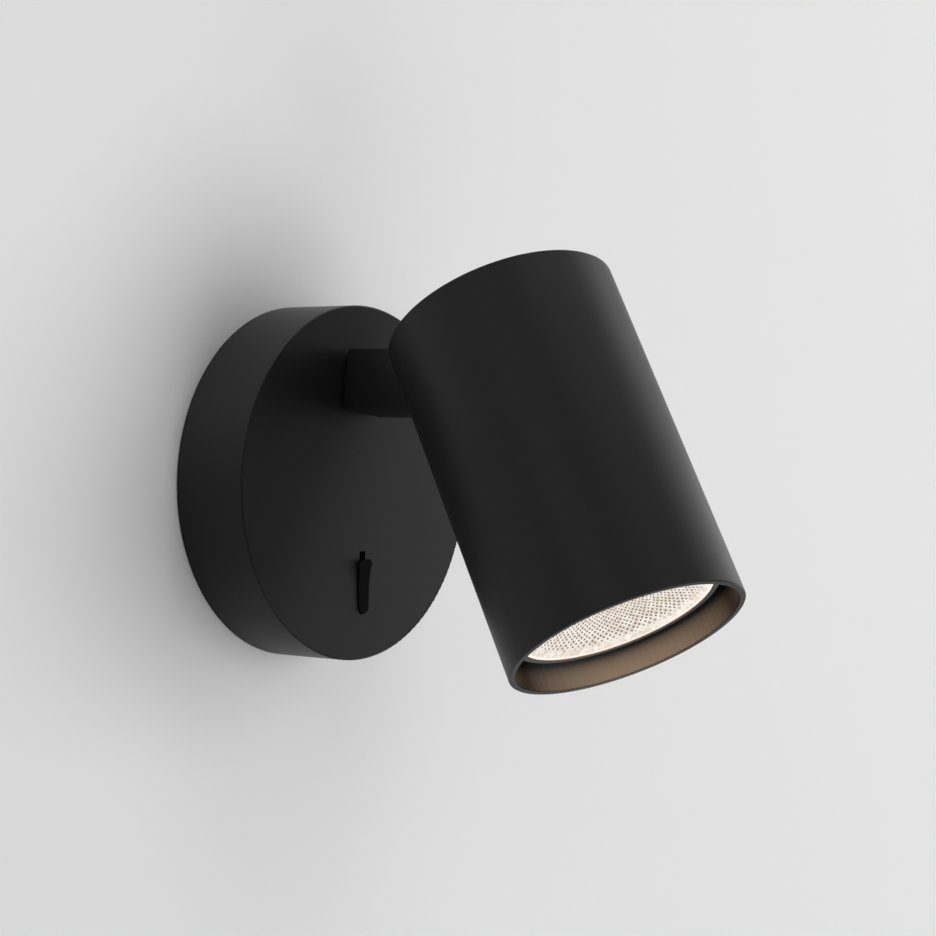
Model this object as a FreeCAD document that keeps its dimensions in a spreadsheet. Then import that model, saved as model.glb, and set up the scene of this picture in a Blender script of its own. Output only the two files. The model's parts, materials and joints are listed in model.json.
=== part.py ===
import FreeCAD, Part
import math
import os
import re
import Sketcher
from FreeCAD import Placement, Rotation, Vector

# A pivoting spotlight wall light: a round base on the wall, a square arm that turns on it,
# and a round head that tilts on the arm. Millimetres, +Z up, -Y out of the wall. The origin
# is the centre of the base's back face, on the wall.

os.makedirs("parts", exist_ok=True)
doc = FreeCAD.newDocument("PivotingSpotlight")

sizes = [
    # rest position, in degrees
    ("rest_pan", 9.36, "turn of the arm about the pan axis, lower side to the left"),
    ("rest_tilt", 30.2, "tilt of the head outwards from straight down"),
    # base
    ("base_radius", 45, "outer radius of the base"),
    ("base_depth", 20.9, "base, wall to front face"),
    ("base_edge", 0.4, "rounding of the base's front edge"),
    ("canopy_wall", 2, "rim thickness of the base cover"),
    ("canopy_front", 2.5, "front thickness of the base cover"),
    ("strap_width", 22, "width of the wall bracket"),
    ("strap_thick", 1.5, "sheet thickness of the wall bracket"),
    ("strap_gap", 3.5, "gap from the bracket's bent tabs to the inside of the rim"),
    ("tab_length", 12, "depth of the bent tabs, from the wall"),
    ("slot_spacing", 51, "distance between the wall screw slots"),
    ("slot_length", 12, "wall screw slot, end to end"),
    ("slot_width", 4.5, "wall screw slot, width"),
    ("grub_radius", 2, "grub screw radius"),
    ("grub_length", 6.4, "grub screw length"),
    ("grub_sink", 0.5, "grub screw, depth below the rim"),
    ("grub_depth", 7, "grub screw axis, from the wall"),
    ("grub_fit", 0.1, "clearance round the grub screws in the bracket"),
    ("grub_socket_width", 2, "driver socket of the grub screws, across flats and deep"),
    ("boss_radius", 4, "boss round each grub screw"),
    ("boss_gap", 0.5, "gap from boss to bracket tab"),
    ("entry_gap", 2.5, "gap from the cable grommet to the terminal block below it"),
    ("entry_bore", 3.5, "bore radius of the cable grommet"),
    ("entry_neck", 5.5, "neck radius of the cable grommet"),
    ("entry_flange", 7, "flange radius of the cable grommet"),
    ("entry_flange_thick", 1.5, "flange thickness of the cable grommet"),
    # terminal block
    ("terminal_width", 24, "terminal block, across"),
    ("terminal_tall", 15, "terminal block, top to bottom"),
    ("terminal_depth", 11, "terminal block, depth"),
    ("terminal_gap", 2.6, "gap from the terminal block to the switch housing below it"),
    ("pole_pitch", 8, "distance between poles"),
    ("clamp_radius", 2.4, "outer radius of a pole's brass tube"),
    ("clamp_bore", 1.7, "bore radius of a pole's brass tube"),
    ("clamp_inset", 1, "brass tube, back from the block's ends"),
    ("pole_screw_radius", 1.25, "terminal screw radius"),
    ("pole_screw_sink", 0.4, "terminal screw, below the block's front"),
    ("pole_screw_bite", 0.5, "terminal screw tip, inside the brass tube's bore"),
    ("pole_screw_spread", 7, "distance between the two screws of a pole"),
    ("fixing_radius", 1.5, "radius of the M3 screws"),
    ("fixing_head", 2.75, "head radius of the M3 screws"),
    ("fixing_head_thick", 1.8, "head height of the M3 screws"),
    ("fixing_socket_width", 1.95, "driver socket of the M3 screws, across flats"),
    ("fixing_socket_depth", 0.9, "driver socket of the M3 screws, depth"),
    ("fixing_sink", 0.6, "terminal block's screw head, below its front"),
    ("fixing_point", 1, "cap screws, beyond the bracket's flange"),
    ("cap_sink", 0.1, "cap screw heads, below the cap"),
    ("earth_inset", 6, "earth screw, in from the upper tab's outer face"),
    ("earth_offset", 6.4, "earth screw, to the left"),
    ("earth_radius", 2, "earth screw radius"),
    ("earth_head", 3.5, "earth screw head radius"),
    ("earth_head_thick", 2.4, "earth screw head height"),
    ("earth_washer", 4, "earth washer radius"),
    ("earth_washer_thick", 0.8, "earth washer thickness"),
    ("earth_groove", 0.8, "driver groove in the earth screw, across"),
    # switch
    ("switch_offset", 0.6, "switch, to the right of the centre"),
    ("switch_inset", 19.6, "switch, in from the base's lower edge"),
    ("switch_slot_width", 2.3, "slot in the base for the lever"),
    ("switch_slot_tall", 16, "slot in the base, top to bottom"),
    ("housing_width", 9.2, "switch housing, across"),
    ("housing_tall", 17.6, "switch housing, top to bottom"),
    ("housing_depth", 10.4, "switch housing, behind the base's front"),
    ("housing_wall", 1.2, "switch housing wall"),
    ("ear_length", 5, "mounting ears above and below the housing"),
    ("ear_width", 6, "mounting ears, across"),
    ("ear_thick", 1.6, "mounting ear thickness"),
    ("stud_radius", 1.2, "stud on the base for each ear"),
    ("stud_length", 5, "stud length"),
    ("push_nut_radius", 2.3, "push-on nut radius"),
    ("push_nut_thick", 0.5, "push-on nut thickness"),
    ("contact_width", 3, "contact blade and tabs, across"),
    ("contact_thick", 0.6, "contact blade and tab thickness"),
    ("contact_tall", 12, "contact blade, top to bottom"),
    ("tab_spacing", 10, "distance between the switch's wire tabs"),
    ("wire_tab", 3.6, "wire tab length behind the housing"),
    # switch lever
    ("lever_depth", 4.9, "lever pivot, behind the base's front face"),
    ("lever_swing", 7, "travel of the lever, in degrees"),
    ("lever_gap", 0.05, "gap under the pressed half of the paddle"),
    ("paddle_thick", 0.45, "thickness of the paddle"),
    ("paddle_up", 6.3, "paddle above the pivot"),
    ("paddle_down", 7.2, "paddle below the pivot"),
    ("paddle_top_half", 1.5, "half width of the paddle's top end"),
    ("paddle_wide_half", 2.6, "half width of the paddle at its widest"),
    ("paddle_waist_half", 2.25, "half width of the paddle below its widest part"),
    ("paddle_foot_half", 1.85, "half width of the paddle above its lower end"),
    ("paddle_end_half", 1.1, "half width of the paddle's lower end"),
    ("paddle_corner", 0.8, "height of the paddle's cut corners and of its widest part"),
    ("web_thick", 1.8, "lever web that passes through the slot"),
    ("web_tall", 7, "lever web, top to bottom"),
    ("hub_radius", 2, "lever hub radius"),
    ("hub_width", 5.8, "lever hub, across"),
    ("lever_pin_radius", 0.75, "lever pin radius"),
    ("lever_pin_fit", 0.04, "clearance round the lever pin"),
    ("stem_length", 4.4, "lever stem behind the pivot"),
    ("stem_tall", 2.4, "lever stem, top to bottom"),
    ("plunger_radius", 0.6, "radius of the plunger in the stem"),
    ("plunger_root", 2.4, "inner end of the plunger, from the pivot"),
    ("plunger_out", 1.2, "plunger, beyond the stem"),
    # pan pivot
    ("pan_inset", 19.8, "pan axis, in from the base's upper edge"),
    ("spindle_radius", 5, "hollow spindle, outer radius"),
    ("spindle_bore", 3.2, "hollow spindle, bore radius"),
    ("spindle_fit", 0.05, "clearance round the spindle in the base"),
    ("face_fit", 0.02, "clearance between flat faces that turn against each other"),
    ("spindle_grip", 8, "length of spindle in the arm"),
    ("spindle_end", 1.8, "spindle beyond its nut"),
    ("spacer_radius", 6.4, "spacer between the base and the arm, radius"),
    ("spacer_thick", 1.2, "spacer between the base and the arm"),
    ("pan_washer_radius", 7.5, "friction washer radius"),
    ("pan_washer_thick", 0.5, "friction washer thickness"),
    ("stop_washer_radius", 7, "stop washer radius"),
    ("stop_washer_thick", 0.8, "stop washer thickness"),
    ("stop_tab_width", 1.6, "stop washer tab, across"),
    ("stop_tab_reach", 10, "stop washer tab, from the pan axis"),
    ("stop_pin_radius", 0.8, "stop pin on the base, radius"),
    ("stop_pin_reach", 9, "stop pin, from the pan axis"),
    ("pan_spring_radius", 6.6, "spring washer radius"),
    ("pan_spring_thick", 0.8, "spring washer thickness"),
    ("pan_nut_flats", 14, "nut, across flats"),
    ("pan_nut_thick", 3, "nut thickness"),
    # arm
    ("arm_size", 15, "side of the square arm"),
    ("pivot_reach", 49.4, "tilt axis, from the wall"),
    ("channel_width", 6, "wire channel in the arm, across"),
    ("channel_tall", 10, "wire channel in the arm, top to bottom"),
    ("lead_radius", 0.8, "radius of one insulated lead"),
    ("lead_spread", 2.6, "distance between two leads"),
    ("lead_rise", 3.6, "leads above the tilt bolt's axis"),
    ("lead_bend", 3.2, "bend radius of the leads"),
    ("lead_slope", 9.36, "start of the leads' slope, behind the bolt's rim"),
    ("lead_reach", 5, "end of the arm's leads, beyond the tilt axis"),
    ("lead_gap", 0.4, "gap from the arm's leads to the base's leads behind them"),
    ("lead_lift", 0.5, "base's leads, nearer the wall than the terminal tubes' axes"),
    ("lead_entry", 3, "base's leads, length inside the terminal block"),
    ("lead_rest", 9, "turns of the base's leads, above the terminal block"),
    ("lead_drop", 6.2, "turns of the base's leads, below the pan axis"),
    ("lead_detour", 1.6, "base's outer lead, out from the terminal block's side"),
    ("lead_clear", 1.5, "axes of the switch's leads, behind the housing"),
    ("base_lead_bend", 2, "bend radius of the base's leads"),
    # tilt pivot
    ("bolt_radius", 2, "tilt bolt radius"),
    ("bolt_fit", 0.05, "clearance round the tilt bolt in the arm"),
    ("bolt_head", 3.5, "tilt bolt head radius"),
    ("bolt_head_thick", 2.4, "tilt bolt head height"),
    ("bolt_end", 0.6, "tilt bolt beyond its nut"),
    ("bolt_socket_width", 2.5, "driver socket of the tilt bolt, across flats"),
    ("tilt_washer_gap", 0.1, "gap from the tilt friction washers to the rear cap"),
    ("tilt_washer_thick", 0.5, "tilt friction washer thickness"),
    ("tilt_spring_radius", 4, "tilt spring washer radius"),
    ("tilt_spring_thick", 0.8, "tilt spring washer thickness"),
    ("tilt_nut_flats", 7, "tilt nut, across flats"),
    ("tilt_nut_thick", 2.2, "tilt nut thickness"),
    # head
    ("tube_radius", 28.75, "head tube, outer radius"),
    ("tube_wall", 1.75, "head tube wall"),
    ("edge_break", 0.25, "broken edges of the head tube"),
    ("notch_gap", 0.2, "gap round the arm in the head's notch"),
    ("cap_thick", 2.5, "rear cap thickness"),
    ("cap_fit", 0.05, "gap round the rear cap"),
    ("sheet_thick", 1.5, "sheet thickness of the tilt bracket"),
    ("cheek_start", 12.5, "bracket cheek, inner edge from the tilt axis"),
    ("cheek_end", 5.1, "bracket cheek, outer edge from the tilt axis"),
    ("flange_width", 7, "bracket flange, outwards from the cheek"),
    ("flange_end", 4.3, "bracket flange, outer edge from the tilt axis"),
    ("web_gap", 0.6, "gap from the arm to the bracket's web"),
    ("web_below", 9.5, "bracket web, past the head's axis"),
    ("web_hole_width", 8, "wire hole in the web, across"),
    ("web_hole_tall", 5, "wire hole in the web, the other way"),
    ("web_hole_out", 8.2, "wire hole, from the head's axis"),
    ("cap_screw_inset", 4, "cap screws, out from the cheek"),
    ("head_lead_end", 9.6, "end of the holder's leads, behind the bracket's web"),
    ("head_lead_bend", 6.4, "bend of the holder's leads, behind the bracket's web"),
    ("head_lead_out", 1.6, "end of the holder's leads, towards the arm's side"),
    # lamp holder
    ("holder_radius", 14, "lamp holder radius"),
    ("holder_width", 22, "lamp holder, across its flats"),
    ("holder_depth", 11.4, "lamp holder, back to front"),
    ("holder_front", 4.5, "lamp holder, front wall"),
    ("holder_hollow", 3.4, "lamp holder, depth of the hollow for the pin heads"),
    ("hollow_radius", 8.4, "lamp holder, radius of that hollow"),
    ("holder_screw_spread", 13, "distance between the lamp holder's screws"),
    ("holder_screw_bite", 2.6, "length of those screws in the holder"),
    ("holder_screw_spare", 0.3, "depth of the holder's screw holes beyond the screws"),
    ("lead_hole", 1, "radius of the lead holes in the holder"),
    ("clip_width", 4, "contact clip width and height"),
    ("clip_thick", 0.4, "contact clip thickness"),
    # lamp
    ("lamp_gap", 0.4, "gap from lamp to lamp holder"),
    ("lamp_length", 52, "lamp, lens to base"),
    ("lamp_radius", 25, "lamp rim radius"),
    ("lens_radius", 23.3, "lens radius"),
    ("lens_thick", 2, "lens thickness"),
    ("lens_recess", 6.6, "lens, back from the mouth of the head"),
    ("rim_proud", 0.2, "lamp rim, proud of the lens"),
    ("rim_tall", 2.6, "lamp rim, front to back"),
    ("lamp_wall", 1.4, "lamp body wall"),
    ("shoulder_length", 5, "straight part of the lamp body behind the rim"),
    ("waist_radius", 15, "lamp body radius where it meets the lamp base"),
    ("lamp_base_radius", 12.4, "lamp base radius"),
    ("lamp_base_length", 15, "lamp base length"),
    ("lamp_base_edge", 0.8, "slanted edge of the lamp base"),
    ("board_depth", 12, "light board, behind the lens"),
    ("board_gap", 0.1, "gap round the light board"),
    ("board_thick", 1.6, "light board thickness"),
    ("pin_spread", 10, "distance between the lamp's pins"),
    ("pin_radius", 1.5, "lamp pin radius"),
    ("pin_head_radius", 2.5, "lamp pin head radius"),
    ("pin_head_thick", 2.3, "lamp pin head height"),
    ("pin_length", 7.5, "lamp pin length"),
    ("pin_gap", 0.3, "gap round a pin in the lamp holder"),
    ("twist", 30, "turn that frees the lamp, in degrees"),
]

sheet = doc.addObject("Spreadsheet::Sheet", "Sizes")
aliases = set()
for row, (alias, value, note) in enumerate(sizes, start=1):
    sheet.set(f"A{row}", note)
    sheet.set(f"B{row}", str(value))
    sheet.setAlias(f"B{row}", alias)
    aliases.add(alias)
doc.recompute()


def formula(text):
    """A formula over size names, with the sheet's name before each of them."""
    return re.sub(r"[a-z]\w*", lambda word: ("Sizes." if word[0] in aliases else "") + word[0], text)


def bind(thing, **formulas):
    for name, text in formulas.items():
        thing.setExpression(name, formula(text))
    return thing


def size(alias):
    return float(sheet.get(alias))


# solids along the axes ---------------------------------------------------------------

turnTo = {
    "x": Rotation(Vector(0, 1, 0), 90),
    "y": Rotation(Vector(1, 0, 0), -90),
    "z": Rotation(),
}


def at(thing, x, y, z, turn=Rotation()):
    thing.Placement = Placement(Vector(), turn)
    for axis, text in zip("xyz", (x, y, z)):
        thing.setExpression("Placement.Base." + axis, formula(text))
    return thing


def box(name, x, y, z):
    """A box between a low and a high formula on each axis."""
    sides = [f"({high}) - ({low})" for low, high in (x, y, z)]
    solid = doc.addObject("Part::Box", name)
    bind(solid, Length=sides[0], Width=sides[1], Height=sides[2])
    return at(solid, x[0], y[0], z[0])


def along(axis, low, centre):
    """Where a solid starts that runs along an axis; centre holds the other two coordinates."""
    spot = list(centre)
    spot.insert("xyz".index(axis), low)
    return spot


def span(middle, width):
    """The low and high end of a width about a middle."""
    return f"{middle} - ({width}) / 2", f"{middle} + ({width}) / 2"


def overrun(low, high):
    """The same span made longer at both ends, for a tool that cuts right through."""
    return f"({low}) - 1", f"({high}) + 1"


def rod(name, radius, axis, low, high, centre=("0", "0")):
    solid = bind(doc.addObject("Part::Cylinder", name), Radius=radius, Height=f"({high}) - ({low})")
    return at(solid, *along(axis, low, centre), turnTo[axis])


def hexagon(name, flats, axis, low, high, centre=("0", "0")):
    solid = doc.addObject("Part::Prism", name)
    solid.Polygon = 6
    bind(solid, Circumradius=f"({flats}) / sqrt(3)", Height=f"({high}) - ({low})")
    return at(solid, *along(axis, low, centre), turnTo[axis])


def join(name, *solids):
    whole = doc.addObject("Part::MultiFuse", name)
    whole.Shapes = list(solids)
    whole.Refine = True
    return whole


def cut(name, solid, *tools):
    rest = doc.addObject("Part::Cut", name)
    rest.Base = solid
    rest.Tool = tools[0] if len(tools) == 1 else join(name + "Tools", *tools)
    rest.Refine = True
    return rest


def group(name, *solids):
    """Separate solids of one node."""
    several = doc.addObject("Part::Compound", name)
    several.Links = list(solids)
    return several


def ring(name, outer, inner, axis, low, high, centre=("0", "0")):
    return cut(
        name,
        rod(name + "Disc", outer, axis, low, high, centre),
        rod(name + "Bore", inner, axis, *overrun(low, high), centre),
    )


# bodies made from outlines -----------------------------------------------------------


def outline(body, plane, corners):
    """A closed outline of straight sides, each corner held by two formulas."""
    sketch = body.newObject("Sketcher::SketchObject", body.Name + "Outline")
    planes = [face for face in body.Origin.OriginFeatures if face.Role == plane]
    sketch.AttachmentSupport = (planes[0], [""])
    sketch.MapMode = "FlatFace"
    count = len(corners)
    turns = [2 * math.pi * number / count for number in range(count)]
    spots = [Vector(math.cos(turn), math.sin(turn), 0) for turn in turns]
    for number, spot in enumerate(spots):
        sketch.addGeometry(Part.LineSegment(spot, spots[(number + 1) % count]))
    for number in range(count):
        sketch.addConstraint(Sketcher.Constraint("Coincident", number, 2, (number + 1) % count, 1))
    for number, texts in enumerate(corners):
        for kind, text in zip(("DistanceX", "DistanceY"), texts):
            place = sketch.addConstraint(Sketcher.Constraint(kind, -1, 1, number, 1, 1.0))
            sketch.setExpression(f"Constraints[{place}]", formula(text))
    return sketch


def turned(name, plane, corners):
    """A body of revolution about the outline's upright axis."""
    body = doc.addObject("PartDesign::Body", name)
    sketch = outline(body, plane, corners)
    feature = body.newObject("PartDesign::Revolution", name + "Turned")
    feature.Profile = sketch
    feature.ReferenceAxis = (sketch, ["V_Axis"])
    feature.Angle = 360
    return body


def padded(name, plane, corners, length, symmetric=True):
    """A body of one thickness, half to each side of the plane or all in front of it."""
    body = doc.addObject("PartDesign::Body", name)
    feature = body.newObject("PartDesign::Pad", name + "Pad")
    feature.Profile = outline(body, plane, corners)
    feature.SideType = "Symmetric" if symmetric else "One side"
    bind(feature, Length=length)
    return body


def rounded(body, radius, chosen):
    """Round the edges of the body that a test picks."""
    doc.recompute()
    tip = body.Tip
    names = [f"Edge{number}" for number, edge in enumerate(tip.Shape.Edges, start=1) if chosen(edge)]
    fillet = body.newObject("PartDesign::Fillet", body.Name + "Rounding")
    fillet.Base = (tip, names)
    bind(fillet, Radius=radius)
    return body


# leads -------------------------------------------------------------------------------

straight = 1e-4  # radians: two runs that turn less than this make one run


def lead(name, spots, bend, radius):
    """A round lead along straight runs joined by tangent arcs; a spot on a straight run adds nothing."""
    edges = []
    start = spots[0]
    for before, corner, after in zip(spots, spots[1:], spots[2:]):
        into = (corner - before).normalize()
        out = (after - corner).normalize()
        half = into.getAngle(out) / 2
        if half < straight:
            continue
        reach = bend * math.tan(half)
        first = corner - into * reach
        last = corner + out * reach
        inward = (out - into).normalize()
        middle = corner + inward * (bend / math.cos(half) - bend)
        edges.append(Part.LineSegment(start, first).toShape())
        edges.append(Part.Arc(first, middle, last).toShape())
        start = last
    edges.append(Part.LineSegment(start, spots[-1]).toShape())
    path = Part.Wire(edges)
    mouth = Part.Wire(Part.makeCircle(radius, spots[0], spots[1] - spots[0]))
    solid = doc.addObject("Part::Feature", name)
    solid.Shape = path.makePipeShell([mouth], True, False)
    return solid


leadSides = {"Left": -size("lead_spread") / 2, "Right": size("lead_spread") / 2}

# frames of the moving groups ---------------------------------------------------------


def frame(name, parent, x, y, z, axis, angle):
    """A place that a group of pieces is built in, turned about one axis."""
    vector = "create(<<vector>>; {}; {}; {})"
    turn = f"create(<<rotation>>; {vector.format(*axis)}; {formula(angle)})"
    spot = vector.format(formula(x), formula(y), formula(z))
    own = f"create(<<placement>>; {spot}; {turn})"
    place = doc.addObject("App::Placement", name)
    place.setExpression("Placement", f"{parent}.Placement * {own}" if parent else own)
    return place


pivotOffset = "(tube_radius - tube_wall - arm_size / 2)"
pivotSetback = "(arm_size / 2)"
panHeight = "(base_radius - pan_inset)"
switchHeight = "(switch_inset - base_radius)"
frame("ArmFrame", "", "0", "0", panHeight, (0, 1, 0), "rest_pan")
frame("TiltFrame", "ArmFrame", "0", "-pivot_reach", "0", (1, 0, 0), "-rest_tilt")
# in the head's frame +Z runs from the rear end to the mouth, and +Y points to the arm's side
frame("HeadFrame", "TiltFrame", "0", f"-{pivotOffset}", pivotSetback, (0, 1, 0), "180")
leverPivot = "(lever_depth - base_depth)"
frame("LeverFrame", "", "switch_offset", leverPivot, switchHeight, (1, 0, 0), "lever_swing / 2")

pieces = []


def finish(solid, label, place=None):
    """Name a finished piece and put it in its group's frame."""
    solid.Label = label
    if place:
        solid.setExpression("Placement", place + ".Placement")
    pieces.append(solid)


# base --------------------------------------------------------------------------------

insideFront = "(canopy_front - base_depth)"
insideRadius = "(base_radius - canopy_wall)"
strapReach = "(base_radius - canopy_wall - strap_gap)"
earthHeight = f"({strapReach} - earth_inset)"
terminalHeight = f"({switchHeight} + housing_tall / 2 + terminal_gap + terminal_tall / 2)"
entryHeight = f"({terminalHeight} + terminal_tall / 2 + entry_gap + entry_flange)"
ends = (("Top", ""), ("Bottom", "-"))
sides = (("Left", "-"), ("Right", ""))
earMiddle = "(housing_tall + ear_length) / 2"


def outward(sign, low, high):
    """The span between two distances from the centre, upwards or downwards."""
    return (low, high) if sign == "" else (f"-({high})", f"-({low})")


def baseCanopy():
    cup = turned("CanopyCup", "XY_Plane", [
        ("0", "-base_depth"),
        ("base_radius", "-base_depth"),
        ("base_radius", "0"),
        (insideRadius, "0"),
        (insideRadius, insideFront),
        ("0", insideFront),
    ])
    front = -size("base_depth")
    rounded(cup, "base_edge", lambda edge: abs(edge.BoundBox.YMax - front) < 1e-6
            and abs(edge.BoundBox.ZMax - size("base_radius")) < 1e-6)
    root = f"{insideFront} - canopy_front / 2"
    stopEnd = f"{insideFront} + pan_washer_thick + stop_washer_thick"
    added = [rod("StopPin", "stop_pin_radius", "y", root, stopEnd, ("0", f"{panHeight} + stop_pin_reach"))]
    removed = [
        rod("SpindleHole", "spindle_radius + spindle_fit", "y", *overrun("-base_depth", insideFront),
            ("0", panHeight)),
        box("SwitchSlot", span("switch_offset", "switch_slot_width"), overrun("-base_depth", insideFront),
            span(switchHeight, "switch_slot_tall")),
    ]
    grubSpot = ("0", "-grub_depth")
    bossFoot = f"{strapReach} + boss_gap"
    for end, sign in ends:
        bossSpan = outward(sign, bossFoot, "base_radius - canopy_wall / 2")
        holeSpan = outward(sign, *overrun(bossFoot, "base_radius"))
        added.append(rod(f"Boss{end}", "boss_radius", "z", *bossSpan, grubSpot))
        removed.append(rod(f"GrubHole{end}", "grub_radius", "z", *holeSpan, grubSpot))
        added.append(rod(f"Stud{end}", "stud_radius", "y", root, f"{insideFront} + stud_length",
                         ("switch_offset", f"{sign}{earMiddle} + {switchHeight}")))
    finish(cut("Canopy", join("CanopySolid", cup, *added), *removed), "base_canopy")


def wallBracket():
    inner = f"({strapReach} - strap_thick)"
    strap = padded("Strap", "YZ_Plane", [
        ("0", f"-{strapReach}"),
        ("0", strapReach),
        ("-tab_length", strapReach),
        ("-tab_length", inner),
        ("-strap_thick", inner),
        ("-strap_thick", f"-{inner}"),
        ("-tab_length", f"-{inner}"),
        ("-tab_length", f"-{strapReach}"),
    ], "strap_width")
    through = overrun("-strap_thick", "0")
    tools = [
        rod("EntryHole", "entry_neck", "y", *through, ("0", entryHeight)),
        rod("TerminalHole", "fixing_radius", "y", *through, ("pole_pitch / 2", terminalHeight)),
        rod("EarthHole", "earth_radius", "y", *through, ("-earth_offset", earthHeight)),
        rod("GrubPoint", "grub_radius + grub_fit", "z", *overrun(f"-{strapReach}", strapReach),
            ("0", "-grub_depth")),
    ]
    for end, sign in ends:
        low, high = span(f"{sign}slot_spacing / 2", "slot_length - slot_width")
        tools += [
            rod(f"Slot{end}Low", "slot_width / 2", "y", *through, ("0", low)),
            rod(f"Slot{end}High", "slot_width / 2", "y", *through, ("0", high)),
            box(f"Slot{end}", span("0", "slot_width"), through, (low, high)),
        ]
    finish(cut("WallBracket", strap, *tools), "wall_bracket")


def canopyScrews():
    screws = []
    spot = ("0", "-grub_depth")
    outer = "base_radius - grub_sink"
    for end, sign in ends:
        whole = outward(sign, f"{outer} - grub_length", outer)
        well = outward(sign, f"{outer} - grub_socket_width", f"{outer} + 1")
        screw = rod(f"Grub{end}", "grub_radius", "z", *whole, spot)
        socket = hexagon(f"GrubSocket{end}", "grub_socket_width", "z", *well, spot)
        screws.append(cut(f"GrubScrew{end}", screw, socket))
    finish(group("CanopyScrews", *screws), "canopy_grub_screws")


def cableGrommet():
    spot = ("0", entryHeight)
    flangeFront = "-strap_thick - entry_flange_thick"
    neck = rod("GrommetNeck", "entry_neck", "y", "-strap_thick", "0", spot)
    flange = rod("GrommetFlange", "entry_flange", "y", flangeFront, "-strap_thick", spot)
    bore = rod("GrommetBore", "entry_bore", "y", *overrun(flangeFront, "0"), spot)
    finish(cut("Grommet", join("GrommetSolid", neck, flange), bore), "cable_grommet")


terminalFront = "(-strap_thick - terminal_depth)"
poleDepth = "(-strap_thick - terminal_depth / 2)"
poles = {"Left": "-pole_pitch", "Middle": "0", "Right": "pole_pitch"}
poleRows = {
    "Upper": f"pole_screw_spread / 2 + {terminalHeight}",
    "Lower": f"-pole_screw_spread / 2 + {terminalHeight}",
}


def terminalBlock():
    tall = span(terminalHeight, "terminal_tall")
    tubeTall = span(terminalHeight, "terminal_tall - 2 * clamp_inset")
    well = (f"{terminalFront} - 1", poleDepth)
    screwTall = (f"{terminalFront} + pole_screw_sink", f"{poleDepth} - clamp_bore + pole_screw_bite")
    tools = []
    clamps = []
    screws = []
    for pole, side in poles.items():
        middle = (side, poleDepth)
        tools.append(rod(f"PoleBore{pole}", "clamp_radius", "z", *overrun(*tall), middle))
        holes = [rod(f"ClampBore{pole}", "clamp_bore", "z", *overrun(*tall), middle)]
        for row, height in poleRows.items():
            spot = (side, height)
            name = f"{pole}{row}"
            tools.append(rod(f"ScrewWell{name}", "pole_screw_radius", "y", *well, spot))
            holes.append(rod(f"ClampHole{name}", "pole_screw_radius", "y", *well, spot))
            screws.append(rod(f"PoleScrew{name}", "pole_screw_radius", "y", *screwTall, spot))
        tube = rod(f"Clamp{pole}", "clamp_radius", "z", *tubeTall, middle)
        clamps.append(cut(f"BrassTube{pole}", tube, *holes))
    fixing = ("pole_pitch / 2", terminalHeight)
    seat = f"({terminalFront} + fixing_head_thick + fixing_sink)"
    tools.append(rod("FixingHole", "fixing_radius", "y", f"{terminalFront} - 1", "0", fixing))
    tools.append(rod("FixingWell", "fixing_head", "y", f"{terminalFront} - 1", seat, fixing))
    block = box("TerminalBox", span("0", "terminal_width"), (terminalFront, "-strap_thick"), tall)
    shank = rod("FixingShank", "fixing_radius", "y", seat, "0", fixing)
    head = rod("FixingHead", "fixing_head", "y", f"{seat} - fixing_head_thick", seat, fixing)
    finish(cut("TerminalBlock", block, *tools), "terminal_block")
    finish(group("TerminalClamps", *clamps), "terminal_clamps")
    finish(group("TerminalScrews", *screws), "terminal_screws")
    finish(join("TerminalFixing", shank, head), "terminal_fixing_screw")


def earthTerminal():
    spot = ("-earth_offset", earthHeight)
    washerFront = "(-strap_thick - earth_washer_thick)"
    headFront = f"({washerFront} - earth_head_thick)"
    washer = ring("EarthWasher", "earth_washer", "earth_radius", "y", washerFront, "-strap_thick", spot)
    head = rod("EarthHead", "earth_head", "y", headFront, washerFront, spot)
    shank = rod("EarthShank", "earth_radius", "y", washerFront, "0", spot)
    grooveDeep = (f"{headFront} - 1", f"{headFront} + earth_head_thick / 2")
    groove = box("EarthGroove", overrun(*span("-earth_offset", "2 * earth_head")), grooveDeep,
                 span(earthHeight, "earth_groove"))
    finish(washer, "earth_washer")
    finish(cut("EarthScrew", join("EarthSolid", head, shank), groove), "earth_screw")


# switch ------------------------------------------------------------------------------

housingBack = f"({insideFront} + housing_depth)"
cavityFloor = f"({housingBack} - housing_wall)"
tabHeights = {"Upper": f"tab_spacing / 2 + {switchHeight}", "Lower": f"-tab_spacing / 2 + {switchHeight}"}


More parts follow.
